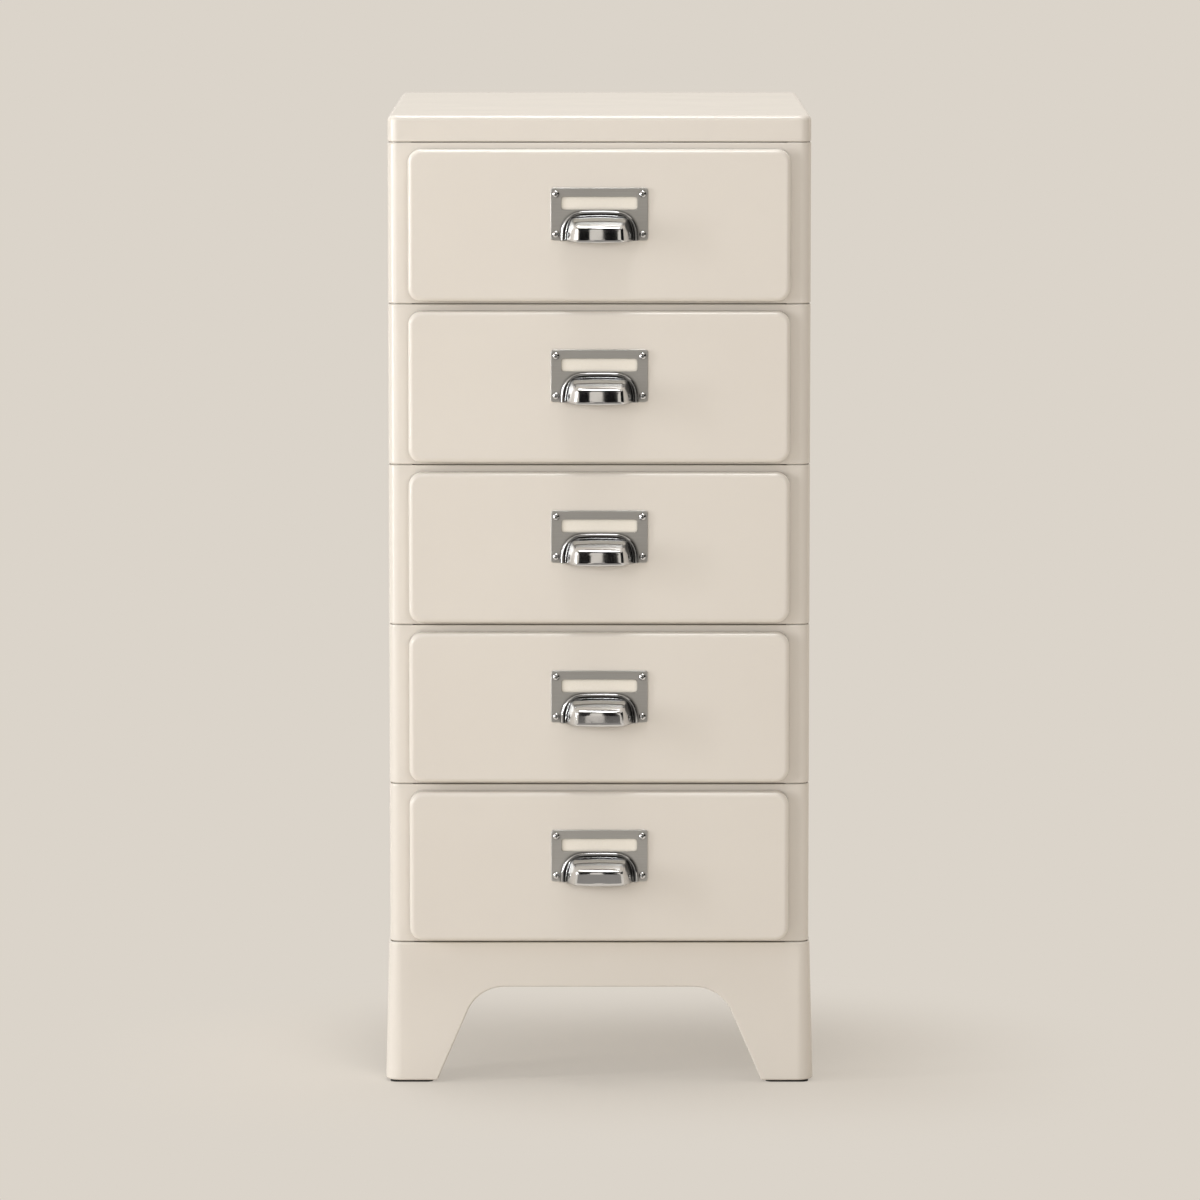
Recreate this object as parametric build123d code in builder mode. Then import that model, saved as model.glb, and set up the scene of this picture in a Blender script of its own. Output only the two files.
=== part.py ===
from build123d import *
from math import radians, tan
import os

# Archive cabinet: five stacked drawer units under a lid, on a base with four legs.
# Sizes are in millimetres. X runs across the front, Y from front to back, Z up from the floor.
# Units and drawers are numbered from the top, and a drawer slides forward, along -Y.

os.makedirs("parts", exist_ok=True)

# Carcass: overall sizes and moulded shell
body_width = 372.0
body_depth = 450.0
unit_count = 5
unit_height = 142.0
lid_height = 24.0
base_height = 126.0
corner_radius = 10.0
wall = 3.0
deck_thickness = 3.0
lid_edge_radius = 5.0

# Stacking joint: shadow gap at each seam, rim on each deck, posts and pins in the corners
seam_gap = 0.8
seam_radius = 1.2
rim_height = 4.0
rim_thickness = 2.4
rim_gap = 0.4
post_depth = 14.0
post_root = 1.0
pin_diameter = 6.0
pin_length = 20.0
pin_side_gap = 0.1
pin_end_gap = 0.5

# Unit front and back: the framed drawer opening and the screwed back panel
stile_width = 26.0
top_rail = 14.0
bottom_rail = 9.0
opening_radius = 6.0
opening_edge_radius = 1.0
back_rail = 10.0
back_flange = 3.0
panel_thickness = 3.0
panel_inset = 11.0
panel_bottom = 4.0
panel_top_drop = 6.0
panel_radius = 5.0
panel_gap = 0.3
panel_screw_edge = 5.0
panel_screw_rise = 20.0

# Base: flared faces, legs and the arches between them
foot_flare = 4.2
base_top_flare = 1.0
base_wall = 4.0
foot_width = 46.0
foot_edge_radius = 2.0
sole_thickness = 4.0
arch_height = 86.0
arch_lean = 23.5
arch_radius = 36.0
arch_edge_radius = 1.6

# Feet: rubber pads on push-in stems
pad_thickness = 2.0
pad_inset = 2.0
pad_radius = 6.0
stem_diameter = 8.0
stem_length = 12.0
stem_gap = 0.1

# Drawer front: a proud hollow moulding that covers the opening
front_gap = 0.6
front_thickness = 15.4
front_side_reveal = 18.0
front_top_reveal = 5.2
front_bottom_reveal = 3.4
front_corner_radius = 12.0
front_edge_radius = 4.5
front_wall = 3.0
seat_ring_inset = 9.0
seat_ring_wall = 3.0
front_boss_radius = 4.5

# Drawer tub, with lips along its sides that hang in the runners
tub_lip_width = 10.5
tub_wall = 2.5
tub_floor_thickness = 3.0
tub_bottom_gap = 2.0
tub_back_gap = 6.0
tub_corner_radius = 8.0
tub_bottom_radius = 5.0
lip_thickness = 3.0
lip_top_gap = 4.0
lip_side_gap = 1.5
stop_overlap = 2.0
stop_gap = 0.3
drawer_travel = 310.0

# Runners: channels that hold the lips
channel_gap = 0.6
running_gap = 0.3
keeper_gap = 0.5
web_thickness = 2.4
web_drop = 14.0
ledge_thickness = 3.0
ledge_side_gap = 2.5
keeper_thickness = 2.5
keeper_width = 8.0

# Screws: countersunk ones in the carcass, and pan-headed ones in the drawers
screw_diameter = 3.0
screw_length = 10.0
screw_head_diameter = 5.7
screw_head_height = 1.9
screw_head_edge = 0.6
screw_side_gap = 0.1
screw_end_gap = 0.5
recess_span = 3.2
recess_slot = 0.8
recess_depth = 0.9
front_screw_side_inset = 38.0
front_screw_end_inset = 21.5

# Pull: a label-holder plate and a hipped cup
plate_width = 85.4
plate_height = 46.2
plate_thickness = 1.6
plate_radius = 2.6
plate_edge_radius = 0.5
plate_top_drop = 33.4
window_width = 67.3
window_height = 11.8
window_top_drop = 7.6
window_radius = 2.4
pull_screw_span = 76.1
pull_screw_rise = 35.2
card_width = 70.0
card_thickness = 0.4
card_overlap = 1.4
card_relief_depth = 0.6
card_side_gap = 0.3
card_top_drop = 0.6
cup_reach = 22.0
cup_wall = 1.4
cup_root_width = 58.3
cup_root_height = 21.5
cup_root_radius = 14.0
cup_nose_width = 40.0
cup_nose_height = 12.2
cup_nose_radius = 3.0
cup_nose_edge_radius = 2.6
rim_bead_width = 68.0
rim_bead_height = 25.9
rim_bead_radius = 18.0
rim_bead_size = 2.2
cup_flange_thickness = 1.0
cup_collar_width = 1.0
cup_collar_height = 2.2

# Places along Y, with the whole cabinet centred on Y = 0
overall_depth = cup_reach + plate_thickness + front_thickness + front_gap + body_depth + foot_flare
body_back = overall_depth / 2 - foot_flare
body_front = body_back - body_depth
body_middle = (body_front + body_back) / 2
front_back = body_front - front_gap
front_face = front_back - front_thickness
plate_face = front_face - plate_thickness
back_inner = body_back - panel_thickness - back_flange
rim_front = body_front + wall + rim_gap
rim_back = back_inner - rim_gap
tub_front = front_back
tub_back = back_inner - tub_back_gap
stop_y = body_front + wall + drawer_travel + stop_gap

# Places along X, from the middle outward
half_width = body_width / 2
opening_half = half_width - stile_width
lip_half = opening_half - lip_side_gap
tub_half = lip_half - tub_lip_width
stop_half = opening_half + stop_overlap
web_inner = stop_half + channel_gap
web_outer = web_inner + web_thickness
front_width = body_width - 2 * front_side_reveal
front_screw_span = 2 * (tub_half - front_screw_side_inset)
panel_half = half_width - panel_inset
panel_screw_x = panel_half - panel_screw_edge
ledge_inner = tub_half + ledge_side_gap
pad_size = foot_width - 2 * (foot_edge_radius + pad_inset)
pad_x = half_width + foot_flare - foot_width / 2
pad_y = body_depth / 2 + foot_flare - foot_width / 2

# Corner posts, from the runners' webs to the walls, with a pin on the middle of each
post_reach = wall - post_root
pin_x = (web_outer + half_width - wall) / 2
pin_y = body_depth / 2 - wall - post_depth / 2
pin_radius = pin_diameter / 2
pin_socket_radius = pin_radius + pin_side_gap
pin_socket_depth = pin_length / 2 + pin_end_gap

# Places along Z, measured from a unit's floor
deck_bottom = unit_height - deck_thickness
opening_top = unit_height - top_rail
lip_top = opening_top - lip_top_gap
lip_bottom = lip_top - lip_thickness
ledge_top = lip_bottom - running_gap
ledge_bottom = ledge_top - ledge_thickness
keeper_bottom = lip_top + keeper_gap
web_bottom = ledge_bottom - web_drop
runner_screw_z = web_bottom + web_drop / 2
tub_bottom = bottom_rail + tub_bottom_gap
tub_middle = (tub_bottom + lip_top) / 2
front_screw_rise = lip_top - tub_bottom - 2 * front_screw_end_inset
front_top = unit_height - front_top_reveal
front_height = front_top - front_bottom_reveal
front_middle = (front_top + front_bottom_reveal) / 2
panel_top = unit_height - panel_top_drop
panel_middle = (panel_top + panel_bottom) / 2
panel_height = panel_top - panel_bottom
plate_top = front_top - plate_top_drop
plate_bottom = plate_top - plate_height
plate_middle = (plate_top + plate_bottom) / 2
window_middle = plate_top - window_top_drop - window_height / 2
card_bottom = plate_top - window_top_drop - window_height - card_overlap
lid_floor = base_height + unit_count * unit_height
base_deck_bottom = base_height - deck_thickness

# Drawer front's seat for the tub, and the cup's bead
seat_width = 2 * (tub_half - seat_ring_inset)
seat_height = lip_top - tub_bottom - 2 * seat_ring_inset
bead_radius = rim_bead_size / 2

# Screw sizes, and each kind of screw's places in a unit, with its head along the place's own z
screw_radius = screw_diameter / 2
screw_hole_radius = screw_radius + screw_side_gap
screw_head_radius = screw_head_diameter / 2
sunk_hole_radius = screw_head_radius + screw_side_gap
sunk_head_angle = 90
panel_screw_places = [
    Location((x, body_back, z), (-90, 0, 0))
    for x in (-panel_screw_x, panel_screw_x)
    for z in (panel_bottom + panel_screw_rise, panel_top - panel_screw_rise)
]
runner_screw_places = [
    Location((side * web_inner, body_middle + end * pin_y, runner_screw_z), (0, -90 * side, 0))
    for side in (-1, 1)
    for end in (-1, 1)
]
front_screw_places = [
    Location((x * front_screw_span, tub_front + tub_wall, tub_middle + z * front_screw_rise), (-90, 0, 0))
    for x in (-0.5, 0.5)
    for z in (-0.5, 0.5)
]
pull_screw_places = [
    Location((x * pull_screw_span, plate_face, plate_middle + z * pull_screw_rise), (90, 0, 0))
    for x in (-0.5, 0.5)
    for z in (-0.5, 0.5)
]


def unit_floor(number):
    """Height of the floor of a unit, counted from the top one."""
    return base_height + (unit_count - number) * unit_height


def level(z):
    """Horizontal plane at height z, centred on the carcass."""
    return Plane((0, body_middle, z))


def upright(y):
    """Plane at depth y that faces the front, with its own x along X and its own y along Z."""
    return Plane.XZ.offset(-y)


def corner_posts(inset):
    """Four post sections that reach outward to the carcass outline inset by inset, and end on it."""
    outer_x = half_width - inset
    outer_y = body_depth / 2 - inset
    inner_y = body_depth / 2 - wall - post_depth
    with GridLocations(web_outer + outer_x, inner_y + outer_y, 2, 2):
        Rectangle(outer_x - web_outer, outer_y - inner_y)
    RectangleRounded(2 * outer_x, 2 * outer_y, corner_radius - inset, mode=Mode.INTERSECT)


def stacking_rim():
    """Section of the rim that locates the piece above: four bars between the corner posts."""
    rim_width = body_width - 2 * (wall + rim_gap)
    rim_depth = rim_back - rim_front
    with Locations((0, (rim_front + rim_back) / 2 - body_middle)):
        Rectangle(rim_width, rim_depth)
        Rectangle(rim_width - 2 * rim_thickness, rim_depth - 2 * rim_thickness, mode=Mode.SUBTRACT)
    corner_cut = 2 * (half_width - pin_x)
    with GridLocations(2 * pin_x, 2 * pin_y, 2, 2):
        Rectangle(corner_cut, corner_cut, mode=Mode.SUBTRACT)


def pin_sections(radius):
    """Four circles on the corner posts."""
    with GridLocations(2 * pin_x, 2 * pin_y, 2, 2):
        Circle(radius)


def flared_outline(flare):
    """Outline of the carcass grown by flare on each side."""
    RectangleRounded(body_width + 2 * flare, body_depth + 2 * flare, corner_radius + flare)


def arch_section(foot_half):
    """Arch between two legs whose inner edges meet the floor pads at foot_half from the middle."""
    crown_half = foot_half - (arch_height - pad_thickness) * tan(radians(arch_lean))
    Polygon(
        (-foot_half, pad_thickness),
        (-foot_half, 0),
        (foot_half, 0),
        (foot_half, pad_thickness),
        (crown_half, arch_height),
        (-crown_half, arch_height),
        align=None,
    )


def is_arch_edge(edge):
    """Whether an edge of the base lies on an arch's outline, on an outer face and above the feet."""
    middle = edge.center()
    beyond_front = abs(middle.Y - body_middle) - body_depth / 2
    beyond_side = abs(middle.X) - half_width
    on_outer_face = max(beyond_front, beyond_side) > base_top_flare
    between_legs = min(beyond_front, beyond_side) < foot_flare - foot_width + foot_edge_radius
    above_feet = pad_thickness + foot_edge_radius < middle.Z < arch_height + arch_edge_radius
    return on_outer_face and between_legs and above_feet


def cross_recess():
    """Section of a screw head's cross recess."""
    Rectangle(recess_span, recess_slot)
    Rectangle(recess_slot, recess_span)


def pull_plane(y):
    """Plane at depth y that faces the front, with its origin on the middle of the plate's lower edge."""
    return Plane((0, y, plate_bottom), (1, 0, 0), (0, -1, 0))


def cup_section(width, height, radius, sill=0.0):
    """Section of the cup at one depth: straight at the sill, rounded at its two upper corners."""
    RectangleRounded(width, 2 * height, radius)
    with Locations((0, sill)):
        Rectangle(width, height - sill, align=(Align.CENTER, Align.MIN), mode=Mode.INTERSECT)


# Lid: a shallow shell with rounded upper edges that drops over the top unit's rim
with BuildPart() as lid:
    with BuildSketch(level(lid_floor + seam_gap)):
        RectangleRounded(body_width, body_depth, corner_radius)
    extrude(amount=lid_height - seam_gap)
    fillet(lid.edges().group_by(Axis.Z)[-1], lid_edge_radius)
    fillet(lid.edges().group_by(Axis.Z)[0], seam_radius)
    with BuildSketch(level(lid_floor)):
        RectangleRounded(body_width - 2 * wall, body_depth - 2 * wall, corner_radius - wall)
    extrude(amount=lid_height - lid_edge_radius, mode=Mode.SUBTRACT)
    with BuildSketch(level(lid_floor + lid_height - lid_edge_radius)):
        RectangleRounded(body_width - 2 * lid_edge_radius, body_depth - 2 * lid_edge_radius, corner_radius - wall)
    extrude(amount=lid_edge_radius - wall, mode=Mode.SUBTRACT)
    with BuildSketch(level(lid_floor)):
        corner_posts(post_reach)
    extrude(amount=lid_height - wall)
    with BuildSketch(level(lid_floor)):
        pin_sections(pin_socket_radius)
    extrude(amount=pin_socket_depth, mode=Mode.SUBTRACT)


# Drawer unit: a tunnel with a framed front, corner posts, an open back and a deck with a stacking rim
with BuildPart() as unit_frame:
    with BuildSketch(level(seam_gap)):
        RectangleRounded(body_width, body_depth, corner_radius)
    extrude(amount=unit_height - seam_gap)
    fillet(unit_frame.edges().group_by(Axis.Z)[-1], seam_radius)
    fillet(unit_frame.edges().group_by(Axis.Z)[0], seam_radius)
    with BuildSketch(Plane((0, (body_front + wall + back_inner) / 2, 0))):
        RectangleRounded(body_width - 2 * wall, back_inner - body_front - wall, corner_radius - wall)
    extrude(amount=deck_bottom, mode=Mode.SUBTRACT)
    with BuildSketch(level(0)):
        corner_posts(post_reach)
    extrude(amount=deck_bottom)
    with BuildSketch(upright(body_front)):
        with Locations((0, (bottom_rail + opening_top) / 2)):
            RectangleRounded(2 * opening_half, opening_top - bottom_rail, opening_radius)
    extrude(amount=-wall, mode=Mode.SUBTRACT)
    framed_face = unit_frame.faces().sort_by(Axis.Y)[0]
    fillet(framed_face.inner_wires().edges(), opening_edge_radius)
    with BuildSketch(upright(body_back)):
        with Locations((0, panel_middle)):
            RectangleRounded(2 * (panel_half + panel_gap), panel_height + 2 * panel_gap, panel_radius)
    extrude(amount=panel_thickness, mode=Mode.SUBTRACT)
    with BuildSketch(upright(body_back)):
        with Locations((0, panel_middle)):
            Rectangle(2 * web_outer, panel_height - 2 * back_rail)
    extrude(amount=body_back - back_inner, mode=Mode.SUBTRACT)
    with BuildSketch(level(unit_height)):
        stacking_rim()
    extrude(amount=rim_height)
    with BuildSketch(level(unit_height)):
        pin_sections(pin_socket_radius)
    extrude(amount=-pin_socket_depth, mode=Mode.SUBTRACT)
    with BuildSketch(level(0)):
        pin_sections(pin_socket_radius)
    extrude(amount=pin_socket_depth, mode=Mode.SUBTRACT)
    with Locations(*panel_screw_places, *runner_screw_places):
        Hole(screw_hole_radius, screw_length + screw_end_gap)

# Back panel: a plate in the recess at the unit's back, on four countersunk screws
with BuildPart() as back_panel:
    with BuildSketch(upright(body_back)):
        with Locations((0, panel_middle)):
            RectangleRounded(2 * panel_half, panel_height, panel_radius - panel_gap)
    extrude(amount=panel_thickness)
    with Locations(*panel_screw_places):
        CounterSinkHole(screw_hole_radius, sunk_hole_radius, counter_sink_angle=sunk_head_angle)

# Runners: channels between the front and the back, screwed to the posts, that hold the drawer's lips
with BuildPart() as runner_right:
    with BuildSketch(upright(back_inner)):
        with BuildLine():
            Polyline(
                (web_outer, web_bottom),
                (web_outer, keeper_bottom + keeper_thickness),
                (web_inner - keeper_width, keeper_bottom + keeper_thickness),
                (web_inner - keeper_width, keeper_bottom),
                (web_inner, keeper_bottom),
                (web_inner, ledge_top),
                (ledge_inner, ledge_top),
                (ledge_inner, ledge_bottom),
                (web_inner, ledge_bottom),
                (web_inner, web_bottom),
                close=True,
            )
        make_face()
    extrude(amount=back_inner - body_front - wall)
    with Locations(*runner_screw_places[2:]):
        CounterSinkHole(screw_hole_radius, sunk_hole_radius, 2 * web_thickness, sunk_head_angle)

with BuildPart() as runner_left:
    mirror(runner_right.part, about=Plane.YZ)

# Base: a flared shell, open below, with a deck, arches on all four sides and a column in each leg
with BuildPart() as base:
    with BuildSketch(level(pad_thickness)):
        flared_outline(foot_flare)
    with BuildSketch(level(base_height)):
        flared_outline(base_top_flare)
    loft()
    fillet(base.edges().group_by(Axis.Z)[-1], seam_radius)
    fillet(base.edges().group_by(Axis.Z)[0], foot_edge_radius)
    with BuildSketch(level(pad_thickness + sole_thickness)):
        flared_outline(foot_flare - base_wall)
    with BuildSketch(level(base_deck_bottom)):
        flared_outline(base_top_flare - base_wall)
    loft(mode=Mode.SUBTRACT)
    with BuildSketch(level(pad_thickness)):
        corner_posts(-base_top_flare / 2)
    extrude(amount=base_deck_bottom - pad_thickness)
    with BuildSketch(upright(body_middle)) as front_arch:
        arch_section(half_width + foot_flare - foot_width)
        fillet(front_arch.vertices().group_by(Axis.Y)[-1], arch_radius)
    extrude(amount=body_depth, both=True, mode=Mode.SUBTRACT)
    with BuildSketch(Plane((0, body_middle, 0), (0, 1, 0), (1, 0, 0))) as side_arch:
        arch_section(body_depth / 2 + foot_flare - foot_width)
        fillet(side_arch.vertices().group_by(Axis.Y)[-1], arch_radius)
    extrude(amount=body_width, both=True, mode=Mode.SUBTRACT)
    fillet(base.edges().filter_by(is_arch_edge), arch_edge_radius)
    with BuildSketch(level(base_height)):
        stacking_rim()
    extrude(amount=rim_height)
    with BuildSketch(level(base_height)):
        pin_sections(pin_socket_radius)
    extrude(amount=-pin_socket_depth, mode=Mode.SUBTRACT)
    with BuildSketch(level(pad_thickness)):
        pin_sections(stem_diameter / 2 + stem_gap)
    extrude(amount=stem_length + pin_end_gap, mode=Mode.SUBTRACT)

# Foot pads: rubber pads under the legs, each with a stem pushed up into the leg's column
with BuildPart() as foot_pads:
    with BuildSketch(level(0)):
        with GridLocations(2 * pad_x, 2 * pad_y, 2, 2):
            RectangleRounded(pad_size, pad_size, pad_radius)
    extrude(amount=pad_thickness)
    with BuildSketch(level(pad_thickness)):
        pin_sections(stem_diameter / 2)
    extrude(amount=stem_length)

# Stacking pins: loose dowels in the posts at each seam
with BuildPart() as stacking_pins:
    for seam in range(unit_count + 1):
        with BuildSketch(level(base_height + seam * unit_height - pin_length / 2)):
            pin_sections(pin_radius)
        extrude(amount=pin_length)

# Drawer tub: an open box with lips along its sides, wider at the rear to stop against the stiles
with BuildPart() as drawer_tub:
    with BuildSketch(Plane((0, (tub_front + tub_back) / 2, tub_bottom))):
        RectangleRounded(2 * tub_half, tub_back - tub_front, tub_corner_radius)
    extrude(amount=lip_top - tub_bottom)
    fillet(drawer_tub.edges().group_by(Axis.Z)[0], tub_bottom_radius)
    with BuildSketch(Plane((0, (tub_front + tub_back) / 2, lip_top))):
        RectangleRounded(
            2 * (tub_half - tub_wall),
            tub_back - tub_front - 2 * tub_wall,
            tub_corner_radius - tub_wall,
        )
    extrude(amount=tub_bottom + tub_floor_thickness - lip_top, mode=Mode.SUBTRACT)
    inner_floor = drawer_tub.faces().filter_by(Plane.XY).sort_by(Axis.Z)[1]
    fillet(inner_floor.edges(), tub_bottom_radius - tub_wall)
    with BuildSketch(Plane.XY.offset(lip_bottom)):
        with BuildLine():
            Polyline(
                (tub_half - tub_wall / 2, tub_front + tub_corner_radius),
                (lip_half, tub_front + tub_corner_radius),
                (lip_half, stop_y),
                (stop_half, stop_y),
                (stop_half, tub_back - tub_corner_radius),
                (tub_half - tub_wall / 2, tub_back - tub_corner_radius),
                close=True,
            )
        make_face()
        mirror(about=Plane.YZ)
    extrude(amount=lip_thickness)
    with Locations(*front_screw_places):
        Hole(screw_hole_radius, 2 * tub_wall)

# Drawer front: a proud hollow moulding with a seat for the tub and bosses for the screws
with BuildPart() as drawer_front:
    with BuildSketch(upright(front_back)):
        with Locations((0, front_middle)):
            RectangleRounded(front_width, front_height, front_corner_radius)
    extrude(amount=front_thickness)
    fillet(drawer_front.edges().group_by(Axis.Y)[0], front_edge_radius)
    with BuildSketch(upright(front_back)):
        with Locations((0, front_middle)):
            RectangleRounded(
                front_width - 2 * front_wall,
                front_height - 2 * front_wall,
                front_corner_radius - front_wall,
            )
        with Locations((0, tub_middle)):
            Rectangle(seat_width, seat_height, mode=Mode.SUBTRACT)
            Rectangle(seat_width - 2 * seat_ring_wall, seat_height - 2 * seat_ring_wall)
            with GridLocations(front_screw_span, front_screw_rise, 2, 2):
                Circle(front_boss_radius, mode=Mode.SUBTRACT)
        with Locations((0, plate_middle)):
            with GridLocations(pull_screw_span, pull_screw_rise, 2, 2):
                Circle(front_boss_radius, mode=Mode.SUBTRACT)
    extrude(amount=front_thickness - front_wall, mode=Mode.SUBTRACT)
    with Locations(*pull_screw_places, *front_screw_places):
        Hole(screw_hole_radius, screw_length + screw_end_gap)

# Pull plate: a pressed label holder with a window, a relief for the card behind it and four screw holes
with BuildPart() as pull_plate:
    with BuildSketch(upright(front_face)):
        with Locations((0, plate_middle)):
            RectangleRounded(plate_width, plate_height, plate_radius)
    extrude(amount=plate_thickness)
    fillet(pull_plate.edges().group_by(Axis.Y)[0], plate_edge_radius)
    with BuildSketch(upright(front_face)):
        with Locations((0, window_middle)):
            RectangleRounded(window_width, window_height, window_radius)
    extrude(amount=plate_thickness, mode=Mode.SUBTRACT)
    with BuildSketch(upright(front_face)):
        with Locations((0, card_bottom - card_side_gap)):
            Rectangle(
                card_width + 2 * card_side_gap,
                plate_top - card_bottom + card_side_gap,
                align=(Align.CENTER, Align.MIN),
            )
    extrude(amount=card_relief_depth, mode=Mode.SUBTRACT)
    with Locations(*pull_screw_places):
        Hole(screw_hole_radius, 2 * plate_thickness)

# Label card: a blank card slid in behind the window from above
with BuildPart() as label_card:
    with BuildSketch(upright(front_face)):
        with Locations((0, card_bottom)):
            Rectangle(card_width, plate_top - card_bottom - card_top_drop, align=(Align.CENTER, Align.MIN))
    extrude(amount=card_thickness)

# Pull cup: a hollow hipped cup, open below, on a flange with a beaded rim and a raised collar
with BuildPart() as pull_cup:
    with BuildSketch(pull_plane(plate_face)):
        cup_section(rim_bead_width - rim_bead_size, rim_bead_height - bead_radius, rim_bead_radius - bead_radius)
    extrude(amount=cup_flange_thickness)
    with BuildSketch(pull_plane(plate_face)):
        cup_section(
            cup_root_width + 2 * cup_collar_width,
            cup_root_height + cup_collar_width,
            cup_root_radius + cup_collar_width,
        )
    extrude(amount=cup_collar_height)
    with BuildSketch(pull_plane(plate_face)):
        cup_section(cup_root_width, cup_root_height, cup_root_radius)
    with BuildSketch(pull_plane(plate_face - cup_reach)):
        cup_section(cup_nose_width, cup_nose_height, cup_nose_radius)
    loft()
    nose_edges = pull_cup.edges().group_by(Axis.Y)[0]
    fillet(nose_edges.sort_by(Axis.Z)[1:], cup_nose_edge_radius)
    with BuildSketch(pull_plane(plate_face)):
        cup_section(cup_root_width - 2 * cup_wall, cup_root_height - cup_wall, cup_root_radius - cup_wall, -cup_wall)
    with BuildSketch(pull_plane(plate_face - cup_reach + cup_wall)):
        cup_section(cup_nose_width - 2 * cup_wall, cup_nose_height - cup_wall, cup_nose_radius - cup_wall, -cup_wall)
    loft(mode=Mode.SUBTRACT)
    with BuildLine(pull_plane(plate_face - bead_radius)) as bead_path:
        FilletPolyline(
            (bead_radius - rim_bead_width / 2, 0),
            (bead_radius - rim_bead_width / 2, rim_bead_height - bead_radius),
            (rim_bead_width / 2 - bead_radius, rim_bead_height - bead_radius),
            (rim_bead_width / 2 - bead_radius, 0),
            radius=rim_bead_radius - bead_radius,
        )
    with BuildSketch(Plane(bead_path.line @ 0, z_dir=bead_path.line % 0)):
        Circle(bead_radius)
    sweep()

# Countersunk screw, head upward with its face on Z = 0
with BuildPart() as sunk_screw:
    with BuildSketch(Plane.XZ):
        with BuildLine():
            Polyline(
                (0, 0),
                (screw_head_radius, 0),
                (screw_radius, screw_radius - screw_head_radius),
                (screw_radius, screw_radius - screw_length),
                (0, -screw_length),
                close=True,
            )
        make_face()
    revolve(axis=Axis.Z)
    with BuildSketch(Plane.XY):
        cross_recess()
    extrude(amount=-recess_depth, mode=Mode.SUBTRACT)

# Pan-headed screw, head upward with its seat on Z = 0
with BuildPart() as pan_screw:
    with BuildSketch(Plane.XZ):
        with BuildLine():
            TangentArc((0, screw_head_height), (screw_head_radius, screw_head_edge), tangent=(1, 0))
            Polyline(
                (screw_head_radius, screw_head_edge),
                (screw_head_radius, 0),
                (screw_radius, 0),
                (screw_radius, screw_radius - screw_length),
                (0, -screw_length),
                (0, screw_head_height),
            )
        make_face()
    revolve(axis=Axis.Z)
    with BuildSketch(Plane.XY.offset(screw_head_height)):
        cross_recess()
    extrude(amount=-recess_depth, mode=Mode.SUBTRACT)

with BuildPart() as pull_screws:
    with Locations(*pull_screw_places):
        add(pan_screw.part)

with BuildPart() as front_screws:
    with Locations(*front_screw_places):
        add(pan_screw.part)

# Carcass screws: those of the runners and back panels of every unit
with BuildPart() as carcass_screws:
    for number in range(1, unit_count + 1):
        with Locations((0, 0, unit_floor(number))):
            with Locations(*panel_screw_places, *runner_screw_places):
                add(sunk_screw.part)

# One copy of each of these pieces for the whole cabinet
whole_pieces = {
    "lid": lid,
    "base": base,
    "foot_pads": foot_pads,
    "stacking_pins": stacking_pins,
    "carcass_screws": carcass_screws,
}
for name, piece in whole_pieces.items():
    piece.part.label = name
    export_step(piece.part, f"parts/{name}.step")

# One copy of each of these pieces for every unit
unit_pieces = {
    "unit_frame": unit_frame,
    "back_panel": back_panel,
    "runner_left": runner_left,
    "runner_right": runner_right,
    "drawer_tub": drawer_tub,
    "drawer_front": drawer_front,
    "pull_plate": pull_plate,
    "label_card": label_card,
    "pull_cup": pull_cup,
    "pull_screws": pull_screws,
    "front_screws": front_screws,
}
for number in range(1, unit_count + 1):
    for name, piece in unit_pieces.items():
        placed = piece.part.moved(Location((0, 0, unit_floor(number))))
        placed.label = f"{name}_{number}"
        export_step(placed, f"parts/{name}_{number}.step")
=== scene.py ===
import math

import bpy
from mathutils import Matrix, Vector


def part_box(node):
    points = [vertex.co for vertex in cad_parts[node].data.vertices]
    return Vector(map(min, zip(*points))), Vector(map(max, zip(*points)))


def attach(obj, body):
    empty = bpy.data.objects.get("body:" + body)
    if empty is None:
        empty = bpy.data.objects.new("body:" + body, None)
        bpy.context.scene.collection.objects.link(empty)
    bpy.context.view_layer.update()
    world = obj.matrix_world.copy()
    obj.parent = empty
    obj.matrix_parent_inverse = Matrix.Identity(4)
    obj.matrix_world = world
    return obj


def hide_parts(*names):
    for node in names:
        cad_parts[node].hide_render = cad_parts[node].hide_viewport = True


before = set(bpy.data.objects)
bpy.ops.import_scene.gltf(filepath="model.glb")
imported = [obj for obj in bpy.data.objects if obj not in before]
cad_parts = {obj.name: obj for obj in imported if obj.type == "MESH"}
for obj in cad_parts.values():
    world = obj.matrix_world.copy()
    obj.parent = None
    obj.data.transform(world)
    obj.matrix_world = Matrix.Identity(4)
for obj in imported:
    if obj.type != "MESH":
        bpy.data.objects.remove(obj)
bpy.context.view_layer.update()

# Base: one moulding with four splayed legs and an arch on each side, under the whole stack.
# It is injection-moulded ABS. The units' weight rests on its rim, and pins keep it in line.

MM = 0.001
drawers = range(1, 6)


def linear(hex_colour):
    """Linear RGBA of an sRGB hex colour."""
    parts = [int(hex_colour[start:start + 2], 16) / 255 for start in (1, 3, 5)]
    return [part / 12.92 if part <= 0.04045 else ((part + 0.055) / 1.055) ** 2.4 for part in parts] + [1.0]


def add(material, kind, inputs, **settings):
    """Adds a node with its settings. Each input is a value, or another node's output socket to link."""
    node = material.node_tree.nodes.new(kind)
    for name, value in settings.items():
        setattr(node, name, value)
    for socket, value in inputs.items():
        if isinstance(value, bpy.types.NodeSocket):
            material.node_tree.links.new(value, node.inputs[socket])
        else:
            node.inputs[socket].default_value = value
    return node


def finish_material(name):
    """A new material with no nodes in it yet."""
    material = bpy.data.materials.new(name)
    material.use_nodes = True
    material.node_tree.nodes.clear()
    return material


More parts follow.
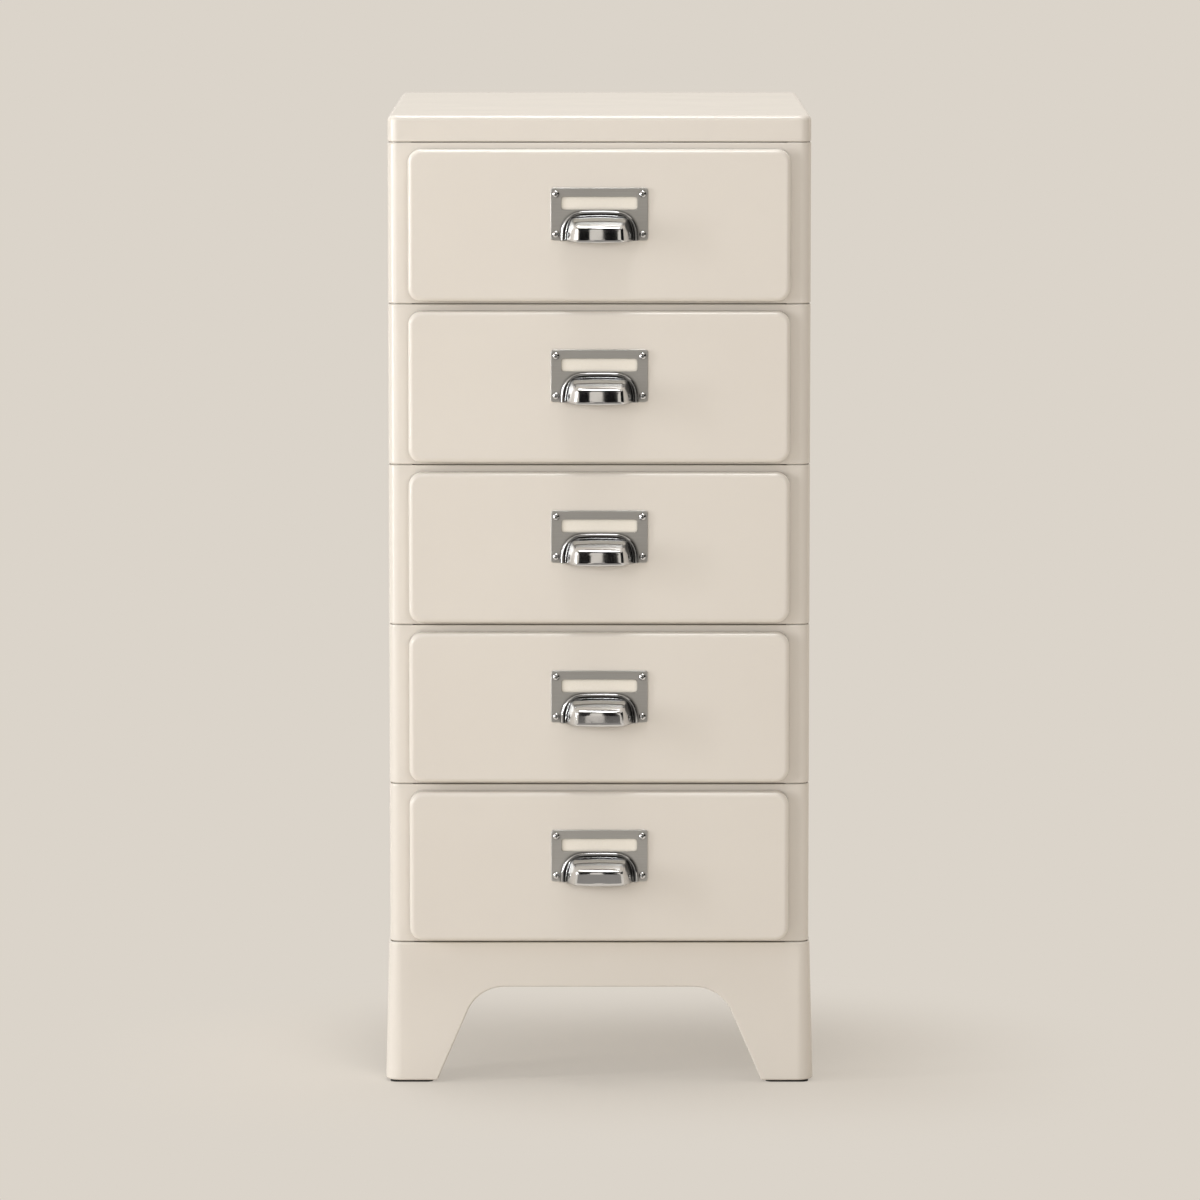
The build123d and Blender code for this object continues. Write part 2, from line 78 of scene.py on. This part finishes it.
def dress(material, *pieces):
    """Gives CAD pieces their finish."""
    for piece in pieces:
        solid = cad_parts[piece]
        solid.data.materials.clear()
        solid.data.materials.append(material)


def moulded_abs(name, pale, deep, slot_shade_colour):
    """Moulded ABS. The melt leaves faint clouds in the colour, and the tool's fine grain breaks up the gloss."""
    cloud_mm = 130
    grain_mm = 2.2  # The real grain is near 0.1 mm. It is drawn coarser so that it shows.
    slot_shade_mm = 3.5  # Painted shade: ambient occlusion darkens the narrow slots between mouldings to olive brown.
    material = finish_material(name)
    place = add(material, "ShaderNodeTexCoord", {}).outputs["Object"]
    cloud = add(material, "ShaderNodeTexNoise", {"Vector": place, "Scale": 1 / (cloud_mm * MM), "Detail": 4.0})
    colour = add(
        material, "ShaderNodeMix",
        {0: cloud.outputs["Fac"], 6: linear(pale), 7: linear(deep)}, data_type="RGBA",
    )
    # Painted shade: where ambient occlusion finds narrow slots and corners, the colour is mixed towards the olive
    # brown slot shade.
    shade_ao = add(material, "ShaderNodeAmbientOcclusion", {"Distance": slot_shade_mm * MM})
    clear = add(
        material, "ShaderNodeMapRange",
        {"Value": shade_ao.outputs["AO"], "From Min": 0.04, "From Max": 0.5},
    )
    slot_shaded = add(
        material, "ShaderNodeMix",
        {0: clear.outputs["Result"], 6: linear(slot_shade_colour), 7: colour.outputs[2]}, data_type="RGBA",
    )
    grain = add(material, "ShaderNodeTexNoise", {"Vector": place, "Scale": 1 / (grain_mm * MM), "Detail": 2.0})
    gloss = add(
        material, "ShaderNodeMapRange",
        {"Value": cloud.outputs["Fac"], "From Min": 0.3, "From Max": 0.7, "To Min": 0.16, "To Max": 0.22},
    )
    relief = add(
        material, "ShaderNodeBump", {"Height": grain.outputs["Fac"], "Strength": 0.06, "Distance": 0.06 * MM},
    )
    surface = add(
        material, "ShaderNodeBsdfPrincipled",
        {
            "Base Color": slot_shaded.outputs[2], "Roughness": gloss.outputs["Result"],
            "Normal": relief.outputs["Normal"], "IOR": 1.53,
        },
    )
    add(material, "ShaderNodeOutputMaterial", {"Surface": surface.outputs["BSDF"]})
    return material


# The last colour is the painted olive brown shade of the slots.
cream_abs = moulded_abs("Cream_ABS_moulded", "#e1dbd2", "#ddd6cd", "#5f5132")
dress(cream_abs, "base")

# Foot pads: four dark pads that keep the legs off the floor.
# They are pressed from black rubber and stuck under the legs' closed ends.


def pressed_rubber(name):
    """Natural rubber, pressed. It is nearly black and matt, with pale dust in its pores."""
    pore_mm = 1.5
    material = finish_material(name)
    place = add(material, "ShaderNodeTexCoord", {}).outputs["Object"]
    pores = add(material, "ShaderNodeTexNoise", {"Vector": place, "Scale": 1 / (pore_mm * MM), "Detail": 3.0})
    colour = add(
        material, "ShaderNodeMix",
        {0: pores.outputs["Fac"], 6: linear("#191817"), 7: linear("#35322e")}, data_type="RGBA",
    )
    relief = add(
        material, "ShaderNodeBump", {"Height": pores.outputs["Fac"], "Strength": 0.4, "Distance": 0.2 * MM},
    )
    surface = add(
        material, "ShaderNodeBsdfPrincipled",
        {"Base Color": colour.outputs[2], "Roughness": 0.8, "Normal": relief.outputs["Normal"], "IOR": 1.52},
    )
    add(material, "ShaderNodeOutputMaterial", {"Surface": surface.outputs["BSDF"]})
    return material


dress(pressed_rubber("Black_rubber_pressed"), "foot_pads")

# Stacking pins and runners: turned pins at the seams, and channels that carry the drawers' lips.
# Both are white acetal, a slippery plastic. The runners are screwed to the units' walls.


def turned_acetal(name):
    """Acetal. It is milky white with a waxy gloss, and sliding leaves fine lengthwise rubs in it."""
    rub_mm = 1.2
    rub_length_mm = 60
    material = finish_material(name)
    place = add(material, "ShaderNodeTexCoord", {}).outputs["Object"]
    stretch = (1 / (rub_mm * MM), 1 / (rub_length_mm * MM), 1 / (rub_mm * MM))
    drawn_out = add(material, "ShaderNodeMapping", {"Vector": place, "Scale": stretch})
    rubs = add(material, "ShaderNodeTexNoise", {"Vector": drawn_out.outputs["Vector"], "Scale": 1.0, "Detail": 2.0})
    gloss = add(
        material, "ShaderNodeMapRange",
        {"Value": rubs.outputs["Fac"], "From Min": 0.3, "From Max": 0.7, "To Min": 0.28, "To Max": 0.46},
    )
    colour = add(
        material, "ShaderNodeMix",
        {0: rubs.outputs["Fac"], 6: linear("#efece5"), 7: linear("#e6e2d9")}, data_type="RGBA",
    )
    surface = add(
        material, "ShaderNodeBsdfPrincipled",
        {"Base Color": colour.outputs[2], "Roughness": gloss.outputs["Result"], "IOR": 1.48},
    )
    add(material, "ShaderNodeOutputMaterial", {"Surface": surface.outputs["BSDF"]})
    return material


white_acetal = turned_acetal("White_acetal_turned")
dress(white_acetal, "stacking_pins")
for number in drawers:
    dress(white_acetal, f"runner_left_{number}", f"runner_right_{number}")

# Drawer units and back panels: five moulded tunnels that stack, each closed behind by a moulded plate.
# They are the base's ABS. A plate is screwed on once the drawer is in.

for number in drawers:
    dress(cream_abs, f"unit_frame_{number}", f"back_panel_{number}")

# Carcass screws: countersunk screws that hold the runners and the back panels to the units.
# They are turned from steel and plated in zinc.


def plated_zinc(name):
    """Bright zinc on steel. It is a bluish grey metal with a mottled, half-dull gloss."""
    mottle_mm = 0.8
    material = finish_material(name)
    place = add(material, "ShaderNodeTexCoord", {}).outputs["Object"]
    mottle = add(material, "ShaderNodeTexNoise", {"Vector": place, "Scale": 1 / (mottle_mm * MM), "Detail": 3.0})
    colour = add(
        material, "ShaderNodeMix",
        {0: mottle.outputs["Fac"], 6: linear("#c3c6c9"), 7: linear("#a9adb2")}, data_type="RGBA",
    )
    gloss = add(
        material, "ShaderNodeMapRange",
        {"Value": mottle.outputs["Fac"], "From Min": 0.3, "From Max": 0.7, "To Min": 0.26, "To Max": 0.44},
    )
    surface = add(
        material, "ShaderNodeBsdfPrincipled",
        {"Base Color": colour.outputs[2], "Metallic": 1.0, "Roughness": gloss.outputs["Result"]},
    )
    add(material, "ShaderNodeOutputMaterial", {"Surface": surface.outputs["BSDF"]})
    return material


zinc_steel = plated_zinc("Steel_zinc_plated")
dress(zinc_steel, "carcass_screws")

# Drawers: an open tub behind a proud front with rounded edges, both moulded in the base's ABS.
# Four zinc-plated screws go through each tub's front wall into the drawer front.

for number in drawers:
    dress(cream_abs, f"drawer_tub_{number}", f"drawer_front_{number}")
    dress(zinc_steel, f"front_screws_{number}")

# Pull plates: flat plates with a window for the label, held to the drawer fronts by the pulls' screws.
# They are stamped from brass, plated in nickel and brushed along their length.


def brushed_nickel(name):
    """Satin nickel. It is a warm grey metal, and the brushing spreads its highlights up and down."""
    stroke_mm = 0.7  # Real strokes are near 0.1 mm. They are drawn coarser so that they show.
    stroke_length_mm = 45
    shade_reach_mm = 2.0  # Painted shade: ambient occlusion darkens the plate's colour in the nooks by the cup and the screws.
    material = finish_material(name)
    place = add(material, "ShaderNodeTexCoord", {}).outputs["Object"]
    stretch = (1 / (stroke_length_mm * MM), 1 / (stroke_mm * MM), 1 / (stroke_mm * MM))
    drawn_out = add(material, "ShaderNodeMapping", {"Vector": place, "Scale": stretch})
    strokes = add(
        material, "ShaderNodeTexNoise", {"Vector": drawn_out.outputs["Vector"], "Scale": 1.0, "Detail": 3.0},
    )
    colour = add(
        material, "ShaderNodeMix",
        {0: strokes.outputs["Fac"], 6: linear("#e2e1de"), 7: linear("#d3d2cf")}, data_type="RGBA",
    )
    # Painted shade: the plate's colour is darkened in the nooks.
    shade_ao = add(material, "ShaderNodeAmbientOcclusion", {"Color": colour.outputs[2], "Distance": shade_reach_mm * MM})
    gloss = add(
        material, "ShaderNodeMapRange",
        {"Value": strokes.outputs["Fac"], "From Min": 0.3, "From Max": 0.7, "To Min": 0.34, "To Max": 0.46},
    )
    relief = add(
        material, "ShaderNodeBump", {"Height": strokes.outputs["Fac"], "Strength": 0.15, "Distance": 0.03 * MM},
    )
    surface = add(
        material, "ShaderNodeBsdfPrincipled",
        {
            "Base Color": shade_ao.outputs["Color"], "Metallic": 1.0, "Roughness": gloss.outputs["Result"],
            "Normal": relief.outputs["Normal"],
        },
    )
    add(material, "ShaderNodeOutputMaterial", {"Surface": surface.outputs["BSDF"]})
    return material


satin_nickel = brushed_nickel("Brass_nickel_plated_brushed")
for number in drawers:
    dress(satin_nickel, f"pull_plate_{number}")

# Label cards: blank cards that slide in behind the plates' windows.
# They are cut from uncoated card and held by the plates alone.


def cut_card(name):
    """Uncoated card. It is cream and matt, with short fibres that cloud its colour."""
    fibre_mm = 0.9
    shade_reach_mm = 3.0  # Painted shade: ambient occlusion darkens the card along the window's edges.
    material = finish_material(name)
    place = add(material, "ShaderNodeTexCoord", {}).outputs["Object"]
    fibres = add(material, "ShaderNodeTexNoise", {"Vector": place, "Scale": 1 / (fibre_mm * MM), "Detail": 5.0})
    colour = add(
        material, "ShaderNodeMix",
        {0: fibres.outputs["Fac"], 6: linear("#f2ede3"), 7: linear("#e8e1d4")}, data_type="RGBA",
    )
    # Painted shade: the card's colour is darkened near the window's edges.
    shade_ao = add(material, "ShaderNodeAmbientOcclusion", {"Color": colour.outputs[2], "Distance": shade_reach_mm * MM})
    relief = add(
        material, "ShaderNodeBump", {"Height": fibres.outputs["Fac"], "Strength": 0.3, "Distance": 0.05 * MM},
    )
    surface = add(
        material, "ShaderNodeBsdfPrincipled",
        {"Base Color": shade_ao.outputs["Color"], "Roughness": 0.85, "Normal": relief.outputs["Normal"], "IOR": 1.45},
    )
    add(material, "ShaderNodeOutputMaterial", {"Surface": surface.outputs["BSDF"]})
    return material


label_paper = cut_card("Card_uncoated_cut")
for number in drawers:
    dress(label_paper, f"label_card_{number}")

# Pull cups and their screws: pressed cups with hipped corners and a beaded rim, and cross-recess screws.
# They are plated in polished chromium, and the screws hold plate and cup to the drawer front.
# A cup is drawn from loops that run up one side, over the top and down the other, from the rim to the nose.


def polished_chromium(name, shade_reach_mm, shade_power):
    """Chromium over polished brass. It mirrors the studio, under a faint film from handling.
    Painted shade and dark reflection: in nooks of a given width, ambient occlusion turns the plating's colour
    towards near black.
    """
    film_mm = 14
    material = finish_material(name)
    place = add(material, "ShaderNodeTexCoord", {}).outputs["Object"]
    film = add(material, "ShaderNodeTexNoise", {"Vector": place, "Scale": 1 / (film_mm * MM), "Detail": 4.0})
    gloss = add(
        material, "ShaderNodeMapRange",
        {"Value": film.outputs["Fac"], "From Min": 0.35, "From Max": 0.7, "To Min": 0.05, "To Max": 0.11},
    )
    colour = add(
        material, "ShaderNodeMix",
        {0: film.outputs["Fac"], 6: linear("#ecedee"), 7: linear("#e2e3e5")}, data_type="RGBA",
    )
    # Painted shade and dark reflection: ambient occlusion, raised to a power, mixes the colour towards near black
    # in nooks.
    shade_ao = add(material, "ShaderNodeAmbientOcclusion", {"Distance": shade_reach_mm * MM})
    open_share = add(material, "ShaderNodeMath", {0: shade_ao.outputs["AO"], 1: shade_power}, operation="POWER")
    nook_shaded = add(
        material, "ShaderNodeMix",
        {0: open_share.outputs[0], 6: linear("#1d1d1f"), 7: colour.outputs[2]}, data_type="RGBA",
    )
    surface = add(
        material, "ShaderNodeBsdfPrincipled",
        {"Base Color": nook_shaded.outputs[2], "Metallic": 1.0, "Roughness": gloss.outputs["Result"]},
    )
    add(material, "ShaderNodeOutputMaterial", {"Surface": surface.outputs["BSDF"]})
    return material


chrome = polished_chromium("Brass_chromium_plated_polished", shade_reach_mm=32.0, shade_power=3.8)
screw_chrome = polished_chromium("Steel_chromium_plated_tumbled", shade_reach_mm=1.6, shade_power=4.0)

# Sizes of the cup in mm.
bead_size = 2.2
flange_depth = 1.0
collar_depth = 2.2
nose_edge_depth, nose_bulge, nose_round = 20.6, 1.3, 2.0
lip_height, lip_tuck = 1.8, 0.9
side_bulge = 0.6
sheet_thickness = 0.9
collar_share = 0.25  # The collar stands this far from the root towards the rim.
side_pull, crown_pull = 0.62, 0.5  # How far along a side and the crown their curves are pulled out.
side_steps, bend_steps, crown_steps = 14, 10, 10
bead_steps, wall_steps, fold_steps, face_steps = 8, 8, 6, 8
crease_angle = 40

# Outlines of the cup: half its width at the sill, its corner, its top at the middle, and the corner's rounding.
rim_outline = (33.2, (30.0, 24.6), 25.5, 17.0)
root_outline = (29.15, (23.4, 20.4), 21.5, 2.6)
nose_outline = (20.2, (19.7, 11.9), 12.2, 2.0)


def along(start, pull, end, share):
    """The point at a share of the way along a curve that leaves and arrives towards one pulling point."""
    near, mid, far = (1 - share) ** 2, 2 * share * (1 - share), share ** 2
    return tuple(near * a + mid * b + far * c for a, b, c in zip(start, pull, end))


def cup_loop(outline, depth):
    """One loop of the cup, as (across, up, out from the plate) in mm."""
    half, (corner_x, corner_z), top, rounding = outline
    corner = (-corner_x, corner_z)
    side = ((-half, 0.0), (-half, side_pull * corner_z), corner)
    crown = (corner, (-crown_pull * corner_x, top), (0.0, top))
    side_end = 1 - rounding / math.hypot(half - corner_x, corner_z)
    crown_start = rounding / corner_x
    left = [along(*side, side_end * step / side_steps) for step in range(side_steps)]
    bend = (along(*side, side_end), corner, along(*crown, crown_start))
    left += [along(*bend, step / bend_steps) for step in range(bend_steps)]
    left += [
        along(*crown, crown_start + (1 - crown_start) * step / crown_steps) for step in range(crown_steps + 1)
    ]
    return [(x, z, depth) for x, z in left + [(-x, z) for x, z in reversed(left[:-1])]]


def grown(outline, step):
    """An outline moved outward by a step, or inward where it is negative."""
    half, (corner_x, corner_z), top, rounding = outline
    return half + step, (corner_x + step, corner_z + step), top + step, max(rounding + step, 0.5)


def between(first, second, share):
    """The outline at a share of the way from one to another."""
    flat = [(half, x, z, top, rounding) for half, (x, z), top, rounding in (first, second)]
    half, x, z, top, rounding = (a + (b - a) * share for a, b in zip(*flat))
    return half, (x, z), top, rounding


def cup_loops():
    """The loops of one cup, from the outside of the bead to the middle of the nose."""
    bead = bead_size / 2
    loops = [cup_loop(rim_outline, 0.1)]
    for step in range(bead_steps + 1):
        angle = math.pi * step / bead_steps
        loops.append(cup_loop(grown(rim_outline, bead * math.cos(angle) - bead), bead + bead * math.sin(angle)))
    loops.append(cup_loop(grown(rim_outline, -bead_size), flange_depth))
    collar_outline = grown(between(root_outline, rim_outline, collar_share), -0.2)
    for outward, depth in ((0.0, flange_depth), (0.0, 0.85 * collar_depth), (-0.2, collar_depth)):
        loops.append(cup_loop(grown(collar_outline, outward), depth))
    loops.append(cup_loop(grown(root_outline, 0.1), collar_depth))
    rise = nose_edge_depth - collar_depth
    spread = root_outline[0] - nose_outline[0]
    slope = math.hypot(spread, rise)
    last = 1 - nose_round / slope
    for step in range(wall_steps + 1):
        share = last * step / wall_steps
        outline = grown(between(root_outline, nose_outline, share), side_bulge * math.sin(math.pi * share))
        loops.append(cup_loop(outline, collar_depth + rise * share))
    for step in range(1, fold_steps + 1):
        share = step / fold_steps
        back = nose_round * (1 - share) ** 2
        outward = back * spread / slope - nose_round * share ** 2
        loops.append(cup_loop(grown(nose_outline, outward), nose_edge_depth - back * rise / slope))
    face = loops[-1]
    for step in range(1, face_steps + 1):
        share = 1 - step / (face_steps + 0.5)
        loops.append([(x * share, z * share, depth) for x, z, depth in face])
    return loops


def swelled(x, z, depth):
    """A point of the cup with the nose's swell across the front and the tuck of its lower lip."""
    share = max(0.0, (depth - collar_depth) / (nose_edge_depth - collar_depth))
    swell = nose_bulge * share ** 2 * max(0.0, 1 - (x / nose_outline[0]) ** 2)
    tuck = lip_tuck * share ** 2 * max(0.0, 1 - z / lip_height) ** 2
    return x, z, depth + swell - tuck


def cup_mesh():
    """The mesh of one cup in metres, with its origin on the plate, at the middle of the lower edge."""
    loops = cup_loops()
    count = len(loops[0])
    points = [swelled(*point) for loop in loops for point in loop]
    faces = [
        (row * count + step, row * count + step + 1, (row + 1) * count + step + 1, (row + 1) * count + step)
        for row in range(len(loops) - 1)
        for step in range(count - 1)
    ]
    faces.append(tuple((len(loops) - 1) * count + step for step in range(count)))
    mesh = bpy.data.meshes.new("pull_cup")
    mesh.from_pydata([(x * MM, -depth * MM, z * MM) for x, z, depth in points], [], faces)
    mesh.shade_smooth()
    mesh.set_sharp_from_angle(angle=math.radians(crease_angle))
    mesh.materials.append(chrome)
    return mesh


pressed_cup = cup_mesh()
for number in drawers:
    dress(screw_chrome, f"pull_screws_{number}")
    low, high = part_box(f"pull_cup_{number}")
    cup = bpy.data.objects.new(f"cup_{number}", pressed_cup)
    cup.location = ((low.x + high.x) / 2, high.y, low.z)
    bpy.context.collection.objects.link(cup)
    shell = cup.modifiers.new("sheet", "SOLIDIFY")
    shell.thickness = sheet_thickness * MM
    shell.offset = -1.0
    shell.use_even_offset = True
    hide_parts(f"pull_cup_{number}")
    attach(cup, f"drawer_{number}")

# Lid: a shallow cap with rounded upper edges, moulded in the base's ABS.
# It drops onto the top unit's pins.

dress(cream_abs, "lid")

# Studio: a painted floor that runs into a backdrop of the same pale colour, which is the world's own.
# The backdrop shows to the camera and in reflections. The object is lit by a plain world and four lamps.

backdrop = linear("#dbd4ca")

world = bpy.data.worlds.new("Backdrop")
bpy.context.scene.world = world
world.use_nodes = True
world.node_tree.nodes.clear()


def shows_backdrop(material):
    """1 for rays that look at the studio: from the camera, or by reflection or through glass. 0 for its light."""
    rays = add(material, "ShaderNodeLightPath", {}).outputs
    looks = add(
        material, "ShaderNodeMath",
        {0: rays["Is Camera Ray"], 1: rays["Is Transmission Ray"]}, operation="MAXIMUM",
    )
    either = add(material, "ShaderNodeMath", {0: looks.outputs[0], 1: rays["Is Glossy Ray"]}, operation="MAXIMUM")
    return either.outputs[0]


left_level, right_level, back_level = 0.37, 0.33, 0.62  # The back gets more, so that it isn't left in the dark.
toward = add(world, "ShaderNodeSeparateXYZ", {0: add(world, "ShaderNodeTexCoord", {}).outputs["Generated"]})
side_light = add(
    world, "ShaderNodeMapRange",
    {"Value": toward.outputs["X"], "From Min": -1.0, "From Max": 1.0, "To Min": left_level, "To Max": right_level},
)
back_light = add(
    world, "ShaderNodeMapRange",
    {"Value": toward.outputs["Y"], "From Min": 0.0, "From Max": 0.7, "To Min": 0.0, "To Max": back_level},
)
level = add(
    world, "ShaderNodeMath", {0: side_light.outputs["Result"], 1: back_light.outputs["Result"]}, operation="ADD",
)
side_share = add(world, "ShaderNodeMapRange", {"Value": toward.outputs["X"], "From Min": -0.3, "From Max": 0.8})
side_tint = add(
    world, "ShaderNodeMix",
    {0: side_share.outputs["Result"], 6: linear("#ffffff"), 7: linear("#fff0dc")}, data_type="RGBA",
)
ambient = add(world, "ShaderNodeBackground", {"Color": side_tint.outputs[2], "Strength": level.outputs[0]})
shown = add(world, "ShaderNodeBackground", {"Color": backdrop, "Strength": 1.0})
either = add(
    world, "ShaderNodeMixShader",
    {0: shows_backdrop(world), 1: ambient.outputs["Background"], 2: shown.outputs["Background"]},
)
add(world, "ShaderNodeOutputWorld", {"Surface": either.outputs["Shader"]})

floor_radius, floor_steps = 14.0, 96
floor_mesh = bpy.data.meshes.new("floor")
turns = [2 * math.pi * step / floor_steps for step in range(floor_steps)]
rim = [(floor_radius * math.cos(turn), floor_radius * math.sin(turn), 0.0) for turn in turns]
floor_mesh.from_pydata(rim, [], [tuple(range(floor_steps))])
floor = bpy.data.objects.new("floor", floor_mesh)
bpy.context.collection.objects.link(floor)

# Under the cabinet the camera sees the shaded paint mixed with the backdrop's colour.
# Further out the share of the backdrop grows, and beyond the reach, in metres, it is all there is.
shadow_shift = (0.0, 0.12, 0.0)
shadow_half = (0.17, 0.08, 0.0)
shadow_reach, backdrop_share = 0.34, 0.56
painted = finish_material("Studio_floor_painted")
place = add(painted, "ShaderNodeTexCoord", {}).outputs["Object"]
moved = add(painted, "ShaderNodeVectorMath", {0: place, 1: shadow_shift}, operation="ADD")
mirrored = add(painted, "ShaderNodeVectorMath", {0: moved.outputs["Vector"]}, operation="ABSOLUTE")
beyond = add(painted, "ShaderNodeVectorMath", {0: mirrored.outputs["Vector"], 1: shadow_half}, operation="SUBTRACT")
outside = add(painted, "ShaderNodeVectorMath", {0: beyond.outputs["Vector"]}, operation="MAXIMUM")
away = add(painted, "ShaderNodeVectorMath", {0: outside.outputs["Vector"]}, operation="LENGTH")
fade = add(
    painted, "ShaderNodeMapRange",
    {
        "Value": away.outputs["Value"], "From Min": 0.0, "From Max": shadow_reach,
        "To Min": backdrop_share, "To Max": 1.0,
    },
    interpolation_type="SMOOTHSTEP",
)
shown_share = add(
    painted, "ShaderNodeMath", {0: fade.outputs["Result"], 1: shows_backdrop(painted)}, operation="MULTIPLY",
)
matt = add(painted, "ShaderNodeBsdfDiffuse", {"Color": linear("#d8d1c7")})
glow = add(painted, "ShaderNodeEmission", {"Color": backdrop, "Strength": 1.0})
blended = add(
    painted, "ShaderNodeMixShader",
    {0: shown_share.outputs[0], 1: matt.outputs["BSDF"], 2: glow.outputs["Emission"]},
)
add(painted, "ShaderNodeOutputMaterial", {"Surface": blended.outputs["Shader"]})
floor_mesh.materials.append(painted)


def softbox(name, place, target, width, height, power, colour):
    """A rectangular lamp that faces a point. The camera doesn't see it."""
    lamp = bpy.data.lights.new(name, "AREA")
    lamp.shape = "RECTANGLE"
    lamp.size = width
    lamp.size_y = height
    lamp.energy = power
    lamp.color = linear(colour)[:3]
    stand = bpy.data.objects.new(name, lamp)
    stand.location = place
    stand.rotation_euler = (Vector(target) - Vector(place)).to_track_quat("-Z", "Y").to_euler()
    stand.visible_camera = False
    bpy.context.collection.objects.link(stand)
    return stand


middle = (0.0, 0.0, 0.45)
softbox("key", (-3.5, -3.5, 1.3), middle, 2.0, 2.0, 45.0, "#ffffff")
softbox("strip", (-3.8, -1.3, 0.9), middle, 0.22, 2.2, 72.0, "#ffffff")
fill = softbox("fill", (0.9, -5.0, 1.4), middle, 2.4, 1.2, 55.0, "#ffffff")
fill.visible_glossy = False  # A scrim dulls it, so the metal shows no second window.
softbox("top", (-0.2, -0.2, 3.2), (0.0, -0.1, 0.86), 2.4, 0.5, 40.0, "#ffffff")


def flag(name, colour, corners):
    """A cloth flag in the studio, given by its corners. Only polished metal sees it."""
    cloth = finish_material(f"Studio_cloth_{name}")
    surface = add(cloth, "ShaderNodeEmission", {"Color": linear(colour), "Strength": 1.0})
    add(cloth, "ShaderNodeOutputMaterial", {"Surface": surface.outputs["Emission"]})
    mesh = bpy.data.meshes.new(name)
    mesh.from_pydata(corners, [], [(0, 1, 2, 3)])
    mesh.materials.append(cloth)
    stand = bpy.data.objects.new(name, mesh)
    bpy.context.collection.objects.link(stand)
    for ray in ("camera", "diffuse", "shadow", "transmission", "volume_scatter"):
        setattr(stand, f"visible_{ray}", False)


for name, colour, left, right, near, far, low, high in (
    ("flag_left", "#141313", -1.5, -0.55, -5.2, -5.2, -0.1, 3.5),
    ("flag_right", "#141313", 0.2, 1.1, -5.2, -5.2, -0.1, 3.5),
    ("mat_left", "#1d1c1b", -1.3, -0.4, -2.6, -5.2, 0.002, 0.002),
    ("mat_right", "#1d1c1b", 0.15, 0.95, -2.6, -5.2, 0.002, 0.002),
    ("mat_near", "#8f8b86", -0.9, 0.9, -0.75, -2.6, 0.002, 0.002),
    ("flag_high", "#1b1a19", -2.2, 2.2, -3.4, -3.0, 2.4, 4.6),
):
    flag(name, colour, [(left, near, low), (right, near, low), (right, far, high), (left, far, high)])
flag("flag_side", "#1b1a19", [(2.2, -4.4, -0.1), (3.2, 0.6, -0.1), (3.2, 0.6, 3.0), (2.2, -4.4, 3.0)])

# Camera: a little above the lid and far off, as in the photograph.
# A long lens keeps the uprights nearly parallel.

lens = bpy.data.cameras.new("camera")
lens.lens = 203.4
lens.sensor_width = 36.0
camera = bpy.data.objects.new("camera", lens)
camera.location = (0.0006, -6.155, 1.145)
camera.rotation_euler = (math.radians(83.1665), 0.0, 0.0)
bpy.context.collection.objects.link(camera)
bpy.context.scene.camera = camera
bpy.context.scene.view_settings.view_transform = "Standard"
